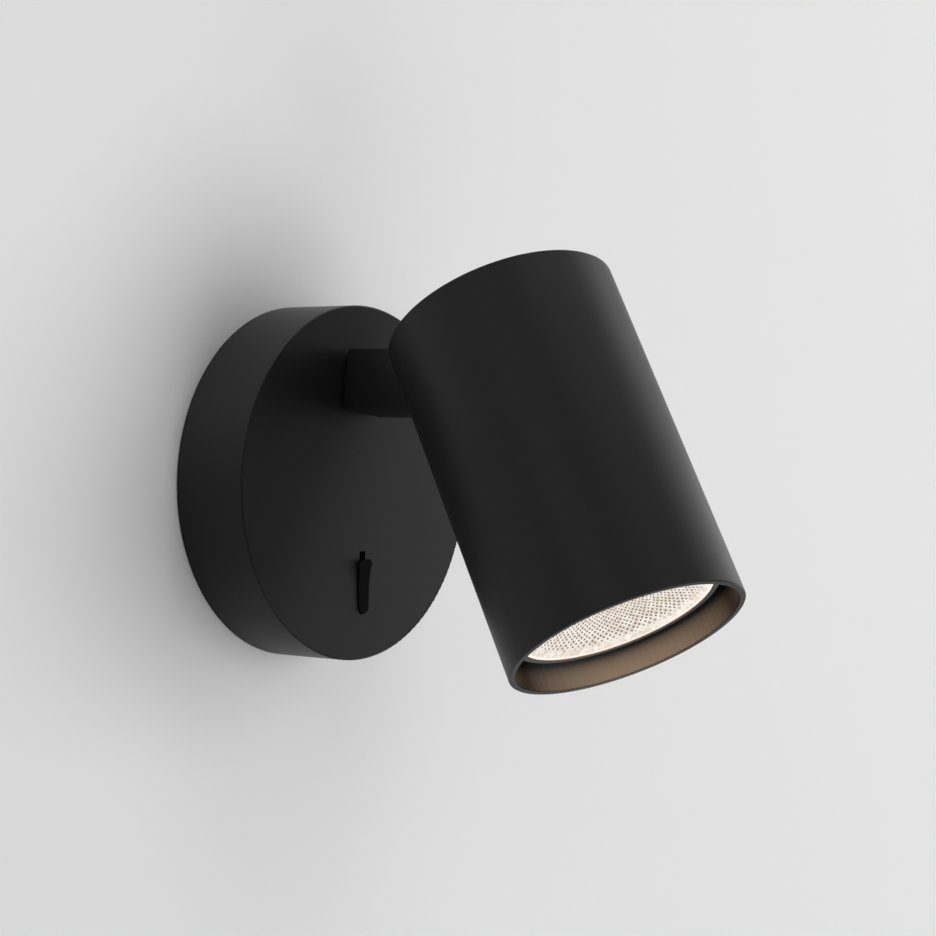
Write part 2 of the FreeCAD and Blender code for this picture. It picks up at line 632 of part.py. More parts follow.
def switchHousing():
    earBack = f"({insideFront} + ear_thick)"
    width = span("switch_offset", "housing_width")
    bladeWidth = span("switch_offset", "contact_width")
    pinSpot = (leverPivot, switchHeight)
    case = box("HousingBox", width, (insideFront, housingBack), span(switchHeight, "housing_tall"))
    ears = box("HousingEars", span("switch_offset", "ear_width"), (insideFront, earBack),
               span(switchHeight, "housing_tall + 2 * ear_length"))
    tools = [
        box("HousingCavity", span("switch_offset", "housing_width - 2 * housing_wall"),
            (f"{insideFront} - 1", cavityFloor), span(switchHeight, "housing_tall - 2 * housing_wall")),
        rod("HousingPinHole", "lever_pin_radius", "x", *overrun(*width), pinSpot),
    ]
    pushNuts = []
    for end, sign in ends:
        spot = ("switch_offset", f"{sign}{earMiddle} + {switchHeight}")
        tools.append(rod(f"EarHole{end}", "stud_radius", "y", *overrun(insideFront, earBack), spot))
        pushNuts.append(ring(f"PushNut{end}", "push_nut_radius", "stud_radius", "y", earBack,
                             f"{earBack} + push_nut_thick", spot))
    tabs = []
    for row, height in tabHeights.items():
        tall = span(height, "contact_thick")
        tools.append(box(f"TabSlot{row}", bladeWidth, overrun(cavityFloor, housingBack), tall))
        tabs.append(box(f"WireTab{row}", bladeWidth, (cavityFloor, f"{housingBack} + wire_tab"), tall))
    blade = box("ContactBlade", bladeWidth, (f"{cavityFloor} - contact_thick", cavityFloor),
                span(switchHeight, "contact_tall"))
    finish(cut("SwitchHousing", join("HousingSolid", case, ears), *tools), "switch_housing")
    finish(group("PushNuts", *pushNuts), "switch_push_nuts")
    finish(group("SwitchTabs", *tabs), "switch_terminals")
    finish(blade, "switch_contact_blade")
    finish(rod("LeverPin", "lever_pin_radius", "x", *width, pinSpot), "switch_pivot_pin")


# the paddle seen from the front: half width and height above the pivot, top to bottom
paddleEdge = [
    ("paddle_top_half", "paddle_up"),
    ("paddle_wide_half", "paddle_up - paddle_corner"),
    ("paddle_wide_half", "paddle_up - 2 * paddle_corner"),
    ("paddle_waist_half", "paddle_up - 3 * paddle_corner"),
    ("paddle_foot_half", "paddle_corner - paddle_down"),
    ("paddle_end_half", "-paddle_down"),
]


def switchLever():
    # seen from the side the paddle is a shallow V, so each half lies flat on the base when pressed
    slope = "tan(lever_swing / 2 * 1deg)"
    foot = "((lever_depth + lever_gap) / cos(lever_swing / 2 * 1deg))"
    profile = padded("PaddleV", "YZ_Plane", [
        (f"-{foot}", "0"),
        (f"-{foot} - paddle_up * {slope}", "paddle_up"),
        (f"-{foot} - paddle_thick - paddle_up * {slope}", "paddle_up"),
        (f"-{foot} - paddle_thick", "0"),
        (f"-{foot} - paddle_thick - paddle_down * {slope}", "-paddle_down"),
        (f"-{foot} - paddle_down * {slope}", "-paddle_down"),
    ], "housing_width")
    left = [(f"-{half}", height) for half, height in reversed(paddleEdge)]
    front = padded("PaddleFront", "XZ_Plane", paddleEdge + left, "lever_depth * 3", symmetric=False)
    paddle = doc.addObject("Part::Common", "Paddle")
    paddle.Base = profile
    paddle.Tool = front
    webWide = span("0", "web_thick")
    lever = join(
        "LeverSolid",
        paddle,
        box("LeverWeb", webWide, (f"-{foot} - paddle_thick / 2", "0"), span("0", "web_tall")),
        rod("LeverHub", "hub_radius", "x", *span("0", "hub_width")),
        box("LeverStem", webWide, ("0", "stem_length"), span("0", "stem_tall")),
    )
    plungerHole = rod("PlungerHole", "plunger_radius", "y", "plunger_root", "stem_length + 1")
    pinHole = rod("LeverPinHole", "lever_pin_radius + lever_pin_fit", "x", *span("0", "2 * hub_width"))
    finish(cut("SwitchLever", lever, pinHole, plungerHole), "switch_lever", "LeverFrame")
    plunger = rod("Plunger", "plunger_radius", "y", "plunger_root", "stem_length + plunger_out")
    finish(group("SwitchPlunger", plunger), "switch_plunger", "LeverFrame")


def rearOfArmLeads():
    stack = ("pan_washer_thick", "stop_washer_thick", "pan_spring_thick", "pan_nut_thick", "spindle_end")
    return size("canopy_front") - size("base_depth") + sum(map(size, stack)) + 2 * size("lead_radius")


def baseLeads():
    """Leads from the terminal block to the switch and to the spindle, seen from the front."""
    pan = size("base_radius") - size("pan_inset")
    switch = size("switch_inset") - size("base_radius")
    bottom = switch + size("housing_tall") / 2 + size("terminal_gap")
    top = bottom + size("terminal_tall")
    pole = size("pole_pitch")
    tab = size("switch_offset") + size("contact_width") / 2
    side = size("terminal_width") / 2 + size("lead_detour")
    depth = size("lead_lift") - size("strap_thick") - size("terminal_depth") / 2
    tabDepth = size("canopy_front") - size("base_depth") + size("housing_depth") + size("lead_clear")
    upperTab = switch + size("tab_spacing") / 2
    lowerTab = switch - size("tab_spacing") / 2
    turn = top + size("lead_rest")
    rise = pan - size("lead_drop")
    left, right = leadSides.values()
    spindle = rearOfArmLeads() + size("lead_gap")
    routes = {
        "Neutral": [(-pole, depth, top - size("lead_entry")), (-pole, depth, turn), (left, depth, rise),
                    (left, depth, pan), (left, spindle, pan)],
        "Live": [(pole, depth, bottom + size("lead_entry")), (pole, depth, bottom),
                 (pole, tabDepth, upperTab), (tab, tabDepth, upperTab)],
        "Switched": [(tab, tabDepth, lowerTab), (side, tabDepth, lowerTab), (side, depth, turn),
                     (right, depth, rise), (right, depth, pan), (right, spindle, pan)],
    }
    leads = []
    for name, route in routes.items():
        spots = [Vector(*spot) for spot in route]
        leads.append(lead(f"{name}Lead", spots, size("base_lead_bend"), size("lead_radius")))
    finish(group("BaseLeads", *leads), "base_leads")


# arm and pan pivot -------------------------------------------------------------------

armBack = "(-base_depth - spacer_thick)"
socketEnd = f"({armBack} - spindle_grip)"
stopFoot = f"({insideFront} + pan_washer_thick)"
springFoot = f"({stopFoot} + stop_washer_thick)"
nutFoot = f"({springFoot} + pan_spring_thick)"
spindleEnd = f"({nutFoot} + pan_nut_thick + spindle_end)"


def armBlock():
    wide = span("0", "arm_size")
    nose = ("-pivot_reach", "0")
    channelDeep = ("-pivot_reach - arm_size", f"{socketEnd} + 1")
    solid = join(
        "ArmSolid",
        box("ArmBar", wide, ("-pivot_reach", armBack), wide),
        rod("ArmNose", "arm_size / 2", "x", *wide, nose),
    )
    finish(cut(
        "ArmBlock",
        solid,
        rod("SpindleSocket", "spindle_radius", "y", socketEnd, f"{armBack} + 1"),
        box("WireChannel", span("0", "channel_width"), channelDeep, span("0", "channel_tall")),
        rod("BoltBore", "bolt_radius + bolt_fit", "x", *overrun(*wide), nose),
    ), "arm_block", "ArmFrame")


def panPivot():
    def stacked(solid, label):
        finish(solid, label, "ArmFrame")

    stacked(ring("Spindle", "spindle_radius", "spindle_bore", "y", socketEnd, spindleEnd), "pan_spindle")
    stacked(ring("Spacer", "spacer_radius", "spindle_radius", "y", armBack, "-base_depth - face_fit"),
            "pan_spacer")
    washerFoot = f"{insideFront} + face_fit"
    stacked(ring("PanWasher", "pan_washer_radius", "spindle_radius", "y", washerFoot, stopFoot),
            "pan_friction_washer")
    stopDisc = join(
        "StopDisc",
        rod("StopRound", "stop_washer_radius", "y", stopFoot, springFoot),
        box("StopTab", span("0", "stop_tab_width"), (stopFoot, springFoot),
            ("-stop_tab_reach", "-spindle_radius")),
    )
    stacked(cut("StopWasher", stopDisc, rod("StopBore", "spindle_radius", "y", insideFront, nutFoot)),
            "pan_stop_washer")
    stacked(ring("PanSpring", "pan_spring_radius", "spindle_radius", "y", springFoot, nutFoot),
            "pan_spring_washer")
    stacked(cut("PanNut", hexagon("PanHex", "pan_nut_flats", "y", nutFoot, f"{nutFoot} + pan_nut_thick"),
                rod("PanNutBore", "spindle_radius", "y", springFoot, spindleEnd)), "pan_nut")


def armLeads():
    rear = rearOfArmLeads()
    slopeStart = size("bolt_radius") + size("lead_slope") - size("pivot_reach")
    slopeEnd = slopeStart - size("lead_rise")
    front = -size("pivot_reach") - size("lead_reach")
    run = [(rear, 0), (slopeStart, 0), (slopeEnd, size("lead_rise")), (front, size("lead_rise"))]
    pair = []
    for side, x in leadSides.items():
        spots = [Vector(x, y, z) for y, z in run]
        pair.append(lead(f"ArmLead{side}", spots, size("lead_bend"), size("lead_radius")))
    finish(group("ArmLeads", *pair), "arm_leads", "ArmFrame")


# head --------------------------------------------------------------------------------

notchHalf = "(arm_size / 2 + notch_gap)"
notchWide = (f"-{notchHalf}", notchHalf)
boreRadius = "(tube_radius - tube_wall)"
webBack = "(arm_size + web_gap)"
webFront = f"({webBack} + sheet_thick)"
holderTop = f"({webFront} + holder_depth)"
lampFoot = f"({holderTop} + lamp_gap)"
lensFace = f"({lampFoot} + lamp_length)"
tubeLength = f"({lensFace} + lens_recess)"
cheekInner = "(arm_size / 2 + tilt_washer_thick)"
cheekOuter = f"({cheekInner} + sheet_thick)"


def headTube():
    tube = turned("TubeTurned", "XZ_Plane", [
        ("tube_radius - edge_break", "0"),
        ("tube_radius", "edge_break"),
        ("tube_radius", f"{tubeLength} - edge_break"),
        ("tube_radius - edge_break", tubeLength),
        (f"{boreRadius} + edge_break", tubeLength),
        (boreRadius, f"{tubeLength} - edge_break"),
        (boreRadius, "0"),
    ])
    notch = box("TubeNotch", notchWide, ("0", "tube_radius + 1"), ("-1", f"{pivotSetback} + {notchHalf}"))
    finish(cut("HeadTube", tube, notch), "head_tube", "HeadFrame")


capScrewSide = f"({cheekOuter} + cap_screw_inset)"
capScrewOut = f"({pivotOffset} - (cheek_start + flange_end) / 2)"


def rearCap():
    through = overrun("0", "cap_thick")
    tools = [box("CapSlot", notchWide, (f"{pivotOffset} - {notchHalf}", "tube_radius"), through)]
    for side, sign in sides:
        spot = (f"{sign}{capScrewSide}", capScrewOut)
        tools.append(rod(f"CapHole{side}", "fixing_radius", "z", *through, spot))
        tools.append(rod(f"CapWell{side}", "fixing_head", "z", "-1", "fixing_head_thick", spot))
    disc = rod("CapDisc", f"{boreRadius} - cap_fit", "z", "0", "cap_thick")
    finish(cut("RearCap", disc, *tools), "rear_cap", "HeadFrame")


def tiltBracket():
    inner = f"{pivotOffset} - cheek_start"
    outer = f"{pivotOffset} + cheek_end"
    flange = ("cap_thick", "cap_thick + sheet_thick")
    throughWeb = overrun(webBack, webFront)
    sheets = [box("BracketWeb", (f"-{cheekOuter}", cheekOuter), ("-web_below", outer), (webBack, webFront))]
    tools = [
        rod("CheekHoles", "bolt_radius", "x", "-tube_radius", "tube_radius", (pivotOffset, pivotSetback)),
        box("WebHole", span("0", "web_hole_width"), span("web_hole_out", "web_hole_tall"), throughWeb),
    ]
    for side, sign in sides:
        cheek = outward(sign, cheekInner, cheekOuter)
        wing = outward(sign, cheekInner, f"{cheekOuter} + flange_width")
        screw = (f"{sign}{capScrewSide}", capScrewOut)
        holderScrew = (f"{sign}holder_screw_spread / 2", "0")
        sheets.append(box(f"Cheek{side}", cheek, (inner, outer), ("cap_thick", webFront)))
        sheets.append(box(f"Flange{side}", wing, (inner, f"{pivotOffset} - flange_end"), flange))
        tools.append(rod(f"FlangeHole{side}", "fixing_radius", "z", *overrun(*flange), screw))
        tools.append(rod(f"WebScrewHole{side}", "fixing_radius", "z", *throughWeb, holderScrew))
    finish(cut("TiltBracket", join("BracketSheet", *sheets), *tools), "tilt_bracket", "HeadFrame")


def screwsAlongHead(label, name, side, out, top, seat, tip):
    """Two M3 screws along the head's axis, with driver sockets in their heads."""
    screws = []
    socketDeep = (f"{top} - 1", f"{top} + fixing_socket_depth")
    for end, sign in sides:
        spot = (f"{sign}{side}", out)
        head = rod(f"{name}Head{end}", "fixing_head", "z", top, seat, spot)
        shank = rod(f"{name}Shank{end}", "fixing_radius", "z", seat, tip, spot)
        socket = hexagon(f"{name}Socket{end}", "fixing_socket_width", "z", *socketDeep, spot)
        screws.append(cut(f"{name}{end}", join(f"{name}Solid{end}", head, shank), socket))
    finish(group(name, *screws), label, "HeadFrame")


def headFixings():
    screwsAlongHead("bracket_screws", "BracketScrews", capScrewSide, capScrewOut, "cap_sink",
                    "fixing_head_thick", "cap_thick + sheet_thick + fixing_point")
    screwsAlongHead("lampholder_screws", "HolderScrews", "holder_screw_spread / 2", "0",
                    f"{webBack} - fixing_head_thick", webBack, f"{webFront} + holder_screw_bite")


def tiltPivot():
    axis = (pivotOffset, pivotSetback)
    headTop = f"-{cheekOuter} - bolt_head_thick"
    washerEnd = f"({cheekOuter} + tilt_spring_thick)"
    nutEnd = f"{washerEnd} + tilt_nut_thick"
    boltEnd = f"{nutEnd} + bolt_end"
    head = rod("BoltHead", "bolt_head", "x", headTop, f"-{cheekOuter}", axis)
    shank = rod("BoltShank", "bolt_radius", "x", f"-{cheekOuter}", boltEnd, axis)
    socketDeep = (f"{headTop} - 1", f"{headTop} + bolt_head_thick / 2")
    socket = hexagon("BoltSocket", "bolt_socket_width", "x", *socketDeep, axis)
    washers = []
    washerRadius = "arm_size / 2 - cap_thick - tilt_washer_gap"
    for side, sign in sides:
        between = outward(sign, "arm_size / 2 + face_fit", cheekInner)
        washers.append(ring(f"TiltWasher{side}", washerRadius, "bolt_radius", "x", *between, axis))
    spring = ring("TiltSpring", "tilt_spring_radius", "bolt_radius", "x", cheekOuter, washerEnd, axis)
    nut = hexagon("TiltHex", "tilt_nut_flats", "x", washerEnd, nutEnd, axis)
    nutBore = rod("TiltNutBore", "bolt_radius", "x", *overrun(washerEnd, nutEnd), axis)
    finish(cut("TiltBolt", join("BoltSolid", head, shank), socket), "tilt_bolt", "HeadFrame")
    finish(group("TiltWashers", *washers), "tilt_friction_washers", "HeadFrame")
    finish(spring, "tilt_spring_washer", "HeadFrame")
    finish(cut("TiltNut", nut, nutBore), "tilt_nut", "HeadFrame")


# lamp holder -------------------------------------------------------------------------

hollowTop = f"({holderTop} - holder_front)"
hollowFloor = f"({hollowTop} - holder_hollow)"


def lampHolder():
    body = doc.addObject("Part::Common", "HolderBlock")
    body.Base = rod("HolderRound", "holder_radius", "z", webFront, holderTop)
    body.Tool = box("HolderFlats", span("0", "holder_width"), span("0", "2 * holder_radius"),
                    (webFront, holderTop))
    front = overrun(hollowTop, holderTop)
    pathRadius = "pin_spread / 2"
    slotHalf = "(pin_radius + pin_gap)"
    tools = [rod("PinHollow", "hollow_radius", "z", hollowFloor, hollowTop)]
    bands = []
    for side, start in (("Right", 0), ("Left", 180)):
        band = rod(f"SlotBand{side}", f"{pathRadius} + {slotHalf}", "z", *front)
        bind(band, Angle="twist")
        band.Placement = Placement(Vector(), Rotation(Vector(0, 0, 1), start))
        bands.append(band)
        sign = "" if side == "Right" else "-"
        tools.append(rod(f"LockedEnd{side}", slotHalf, "z", *front, (f"{sign}{pathRadius}", "0")))
        entry = (f"{sign}{pathRadius} * cos(twist * 1deg)", f"{sign}{pathRadius} * sin(twist * 1deg)")
        tools.append(rod(f"Entry{side}", "pin_head_radius + pin_gap", "z", *front, entry))
    core = rod("SlotCore", f"{pathRadius} - {slotHalf}", "z", *front)
    tools.append(cut("SlotBands", join("SlotSectors", *bands), core))
    screwHole = (f"{webFront} - 1", f"{webFront} + holder_screw_bite + holder_screw_spare")
    clipDeep = (hollowFloor, f"{hollowFloor} + clip_thick")
    clips = []
    for side, sign in sides:
        tools.append(rod(f"HolderScrewHole{side}", "fixing_radius", "z", *screwHole,
                         (f"{sign}holder_screw_spread / 2", "0")))
        tools.append(rod(f"LeadHole{side}", "lead_hole", "z", *overrun(webFront, hollowFloor),
                         (f"{sign}lead_spread / 2", "web_hole_out - lead_hole")))
        clipWide = span(f"{sign}{pathRadius}", "clip_width")
        clips.append(box(f"Clip{side}", clipWide, span("0", "clip_width"), clipDeep))
    finish(cut("LampHolder", body, *tools), "lampholder", "HeadFrame")
    finish(group("ContactClips", *clips), "lampholder_contacts", "HeadFrame")


def headLeads():
    web = size("arm_size") + size("web_gap") + size("sheet_thick")
    floor = web + size("holder_depth") - size("holder_front") - size("holder_hollow")
    out = size("web_hole_out") - size("lead_hole")
    run = [
        (out, floor - size("lead_radius") / 2),
        (out, web - size("head_lead_bend")),
        (out + size("head_lead_out"), web - size("head_lead_end")),
    ]
    pair = []
    for side, x in leadSides.items():
        spots = [Vector(x, y, z) for y, z in run]
        pair.append(lead(f"HeadLead{side}", spots, size("lead_bend"), size("lead_radius")))
    finish(group("HeadLeads", *pair), "holder_leads", "HeadFrame")


# lamp --------------------------------------------------------------------------------


def lamp():
    rimBack = f"({lensFace} - rim_tall)"
    shoulder = f"({rimBack} - shoulder_length)"
    waist = f"({lampFoot} + lamp_base_length)"
    body = turned("LampBodyTurned", "XZ_Plane", [
        ("lamp_base_radius", waist),
        ("waist_radius", waist),
        ("lamp_radius", shoulder),
        ("lamp_radius", rimBack),
        ("lamp_radius - lamp_wall", rimBack),
        ("lamp_radius - lamp_wall", shoulder),
        ("waist_radius - lamp_wall", f"{waist} + lamp_wall"),
        ("0", f"{waist} + lamp_wall"),
        ("0", waist),
    ])
    finish(body, "lamp_body", "HeadFrame")
    base = turned("LampBaseTurned", "XZ_Plane", [
        ("0", lampFoot),
        ("lamp_base_radius - lamp_base_edge", lampFoot),
        ("lamp_base_radius", f"{lampFoot} + lamp_base_edge"),
        ("lamp_base_radius", waist),
        ("0", waist),
    ])
    finish(base, "lamp_base", "HeadFrame")
    finish(ring("LampRim", "lamp_radius", "lens_radius", "z", rimBack, f"{lensFace} + rim_proud"),
           "lamp_rim", "HeadFrame")
    lens = rod("LampLens", "lens_radius", "z", f"{lensFace} - lens_thick", lensFace)
    finish(group("Lens", lens), "lamp_lens", "HeadFrame")
    boardBack = f"({lensFace} - board_depth - board_thick)"
    coneFoot = f"({waist} + lamp_wall)"
    spread = f"(lamp_radius - waist_radius) / ({shoulder} - {coneFoot})"
    boardRadius = f"waist_radius - lamp_wall + ({boardBack} - {coneFoot}) * {spread} - board_gap"
    board = rod("LightBoard", boardRadius, "z", boardBack, f"{lensFace} - board_depth")
    finish(group("Board", board), "lamp_light_board", "HeadFrame")
    pins = []
    tip = f"{lampFoot} - pin_length"
    for side, sign in sides:
        spot = (f"{sign}pin_spread / 2", "0")
        pins.append(join(f"Pin{side}",
                         rod(f"PinStem{side}", "pin_radius", "z", f"{tip} + pin_head_thick", lampFoot, spot),
                         rod(f"PinHead{side}", "pin_head_radius", "z", tip, f"{tip} + pin_head_thick", spot)))
    finish(group("LampPins", *pins), "lamp_pins", "HeadFrame")


baseMakers = (baseCanopy, wallBracket, canopyScrews, cableGrommet, terminalBlock, earthTerminal)
switchMakers = (switchHousing, switchLever, baseLeads)
armMakers = (armBlock, panPivot, armLeads)
headMakers = (headTube, rearCap, tiltBracket, headFixings, tiltPivot, lampHolder, headLeads, lamp)
for make in baseMakers + switchMakers + armMakers + headMakers:
    make()
doc.recompute()

failed = [thing.Label for thing in doc.Objects if {"Invalid", "Error"} & set(thing.State)]
failed += [piece.Label for piece in pieces if piece.Shape.isNull() or not piece.Shape.isValid()]
if failed:
    raise ValueError("failed: " + ", ".join(failed))
for piece in pieces:
    piece.Shape.exportStep(f"parts/{piece.Label}.step")
    print(f"{piece.Label}: {len(piece.Shape.Solids)} solids, {piece.Shape.Volume:.1f} mm3")
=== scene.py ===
import json
import math

import bmesh
import bpy
import numpy as np
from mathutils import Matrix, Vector


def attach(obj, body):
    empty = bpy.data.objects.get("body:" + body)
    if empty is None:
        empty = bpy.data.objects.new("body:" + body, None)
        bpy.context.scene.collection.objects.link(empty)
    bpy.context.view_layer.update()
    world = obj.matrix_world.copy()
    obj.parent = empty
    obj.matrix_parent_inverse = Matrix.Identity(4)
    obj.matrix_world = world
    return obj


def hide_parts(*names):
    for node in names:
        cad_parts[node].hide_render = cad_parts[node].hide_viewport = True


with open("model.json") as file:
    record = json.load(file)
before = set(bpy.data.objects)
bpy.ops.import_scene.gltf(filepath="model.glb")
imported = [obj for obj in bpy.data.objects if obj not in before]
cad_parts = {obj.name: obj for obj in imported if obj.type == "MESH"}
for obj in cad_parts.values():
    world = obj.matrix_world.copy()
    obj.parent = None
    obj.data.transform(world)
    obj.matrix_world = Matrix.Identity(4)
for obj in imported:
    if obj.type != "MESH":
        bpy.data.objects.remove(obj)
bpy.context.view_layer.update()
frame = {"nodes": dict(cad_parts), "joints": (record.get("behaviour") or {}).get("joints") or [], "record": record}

# A pivoting spotlight wall light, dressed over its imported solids. Metres, +Z up, -Y out of the wall.

record = frame["record"]
nodes = frame["nodes"]
joints = {joint["name"]: joint for joint in frame["joints"]}
scene = bpy.context.scene
mm = 0.001

camera = {
    "eye": (-0.42120, -0.36057, 0.02183),
    "heading": 54.0,  # degrees from +Y towards +X
    "dip": 1.91,  # degrees below level
    "lens": 81.93,  # mm, on the sensor's width
    "sensor": 36,  # mm
    "near": 10 * mm,
}

studio = {
    "wallTone": 0.77,
    "wallSize": 6.0,
    "wallGap": 0.3 * mm,  # behind the base, so that the two planes don't share a face
    "peelPerMetre": 420.0,  # the paint's orange peel
    "peelDetail": 3.0,
    "peelStrength": 0.03,
    "peelHeight": 0.1 * mm,
    "floorDrop": 2.2,
    "floorSize": 4.4,
    "worldTone": 0.03,
    "backdropTone": 0.72,  # what the eye sees past the wall and the floor
    "lampDistance": 2.2,
    "lampAcross": 1.5,
    "lamps": {
        # name: degrees to the right of straight out from the wall, degrees above level, watts
        "leftLow": (-45, -40, 1.9),
        "leftHigh": (-45, 30, 2.4),
        "leftRake": (-84, 30, 8.5),
        "frontLow": (-10, -40, 7.4),
        "frontHigh": (-10, 30, 4.2),
        "key": (20, -5, 24.6),
        "top": (0, 85, 24.8),
        "topRight": (45, 65, 8.1),
        "rightHigh": (65, 30, 6.6),
        "rake": (82, -5, 14.5),
        "rakeHigh": (82, 30, 3.4),
        "behind": (-172, 24, 16.0),
        "behindRight": (128, 10, 7.0),
    },
}


def aimed(thing, place, target):
    # Stands a lamp or the camera at a place, looking at the target.
    thing.location = Vector(place)
    thing.rotation_mode = "QUATERNION"
    thing.rotation_quaternion = (Vector(target) - Vector(place)).to_track_quat("-Z", "Y")
    scene.collection.objects.link(thing)
    return thing


def makeCamera():
    data = bpy.data.cameras.new("camera")
    data.sensor_width = camera["sensor"]
    data.lens = camera["lens"]
    data.clip_start = camera["near"]
    heading = math.radians(camera["heading"])
    dip = math.radians(camera["dip"])
    eye = Vector(camera["eye"])
    ahead = Vector((math.sin(heading) * math.cos(dip), math.cos(heading) * math.cos(dip), -math.sin(dip)))
    scene.camera = aimed(bpy.data.objects.new("camera", data), eye, eye + ahead)


def makeLamps():
    # Round area lamps on a sphere about the origin, each facing it.
    for name, (right, above, watts) in studio["lamps"].items():
        data = bpy.data.lights.new(name, "AREA")
        data.shape = "DISK"
        data.size = studio["lampAcross"]
        data.energy = watts
        turn = math.radians(right)
        rise = math.radians(above)
        towards = Vector((math.sin(turn) * math.cos(rise), -math.cos(turn) * math.cos(rise), math.sin(rise)))
        lamp = aimed(bpy.data.objects.new(name, data), towards * studio["lampDistance"], (0, 0, 0))
        lamp.visible_camera = False


def newMaterial(name):
    material = bpy.data.materials.new(name)
    material.use_nodes = True
    tree = material.node_tree
    tree.nodes.clear()
    return material, tree


def put(tree, kind, values=None, **settings):
    # Adds a node; each value is a number or colour for a socket, or the socket to link to it.
    node = tree.nodes.new(kind)
    for key, value in settings.items():
        setattr(node, key, value)
    for key, value in (values or {}).items():
        if isinstance(value, bpy.types.NodeSocket):
            tree.links.new(value, node.inputs[key])
        else:
            node.inputs[key].default_value = value
    return node


def show(tree, shader):
    # The shader that the surface shows.
    put(tree, "ShaderNodeOutputMaterial", {"Surface": shader.outputs[0]})


def newGroup(name, inputs, outputs):
    # An effect with named inputs, each with its default value, and named outputs, each with its kind.
    tree = bpy.data.node_groups.new(name, "ShaderNodeTree")
    kinds = {float: "NodeSocketFloat", tuple: "NodeSocketColor"}
    for label, value in inputs.items():
        socket = tree.interface.new_socket(label, in_out="INPUT", socket_type=kinds[type(value)])
        socket.default_value = value
    for label, kind in outputs.items():
        tree.interface.new_socket(label, in_out="OUTPUT", socket_type=kind)
    start = tree.nodes.new("NodeGroupInput")
    end = tree.nodes.new("NodeGroupOutput")
    return tree, start.outputs, end.inputs


def useGroup(tree, group, values):
    # Places an effect in a material, with the material's own values.
    node = tree.nodes.new("ShaderNodeGroup")
    node.node_tree = group
    for key, value in values.items():
        node.inputs[key].default_value = value
    return node.outputs


def mixed(tree, factor, low, high):
    # A colour between two, by a factor from 0 to 1; 6 and 7 are the node's two colours, 2 is its result.
    return put(tree, "ShaderNodeMix", {"Factor": factor, 6: low, 7: high}, data_type="RGBA").outputs[2]


def ranged(tree, value, low, high, toLow=0.0, toHigh=1.0):
    # The stretch from low to high drawn out to the stretch from toLow to toHigh, and held at its ends.
    return put(tree, "ShaderNodeMapRange", {
        "Value": value, "From Min": low, "From Max": high, "To Min": toLow, "To Max": toHigh,
    }).outputs["Result"]


def reckoned(tree, operation, first, second, **settings):
    # One step of arithmetic, on numbers or sockets.
    return put(tree, "ShaderNodeMath", {0: first, 1: second}, operation=operation, **settings).outputs[0]


def noise(tree, place, perMetre, detail, roughness=0.5):
    # Cloudy values about 0.5, perMetre of them to the metre.
    return put(tree, "ShaderNodeTexNoise", {
        "Vector": place, "Scale": perMetre, "Detail": detail, "Roughness": roughness,
    }).outputs["Fac"]


def bumped(tree, height, strength, distance):
    return put(tree, "ShaderNodeBump", {
        "Height": height, "Strength": strength, "Distance": distance,
    }).outputs["Normal"]


def grey(tone):
    return (tone, tone, tone, 1.0)


surfaceSockets = {"Color": "NodeSocketColor", "Roughness": "NodeSocketFloat", "Normal": "NodeSocketVector"}

coatGrain = {
    "grainDetail": 2.0,
    "grainHeight": 0.05 * mm,
    "patchDetail": 3.0,
    "patchRough": 0.55,
    "patchRange": (0.3, 0.7),  # of the noise, from the smooth patches to the rough ones
}


def makeGrainGroup():
    # Fine grain of a coat or moulding. Small noise gives the bump. Large noise gives patches, which change
    # the roughness and, as 1 + change (patch - 1/2), the tone.
    tree, given, out = newGroup("fineGrain", {
        "Grains Per Metre": 2600.0, "Depth": 0.2, "Patches Per Metre": 30.0, "Tone": grey(0.02),
        "Tone Change": 0.1, "Rough Low": 0.45, "Rough High": 0.55,
    }, surfaceSockets)
    place = put(tree, "ShaderNodeTexCoord").outputs["Object"]
    grain = noise(tree, place, given["Grains Per Metre"], coatGrain["grainDetail"])
    patch = noise(tree, place, given["Patches Per Metre"], coatGrain["patchDetail"], coatGrain["patchRough"])
    change = reckoned(tree, "MULTIPLY", reckoned(tree, "SUBTRACT", patch, 0.5), given["Tone Change"])
    level = reckoned(tree, "ADD", change, 1.0)
    tone = put(tree, "ShaderNodeVectorMath", {0: given["Tone"], "Scale": level}, operation="SCALE")
    tree.links.new(tone.outputs[0], out["Color"])
    rough = ranged(tree, patch, *coatGrain["patchRange"], given["Rough Low"], given["Rough High"])
    tree.links.new(rough, out["Roughness"])
    tree.links.new(bumped(tree, grain, given["Depth"], coatGrain["grainHeight"]), out["Normal"])
    return tree


toolMarks = {
    "drawn": (1.0, 0.08, 1.0),  # the lines run along Y
    "lineDetail": 3.0,
    "lineRough": 0.6,
    "lineHeight": 0.03 * mm,
    "blotsPerMetre": 160.0,
    "blotDetail": 4.0,
    "roughRange": (0.3, 0.7),
    "stainRange": (0.42, 0.7),
}


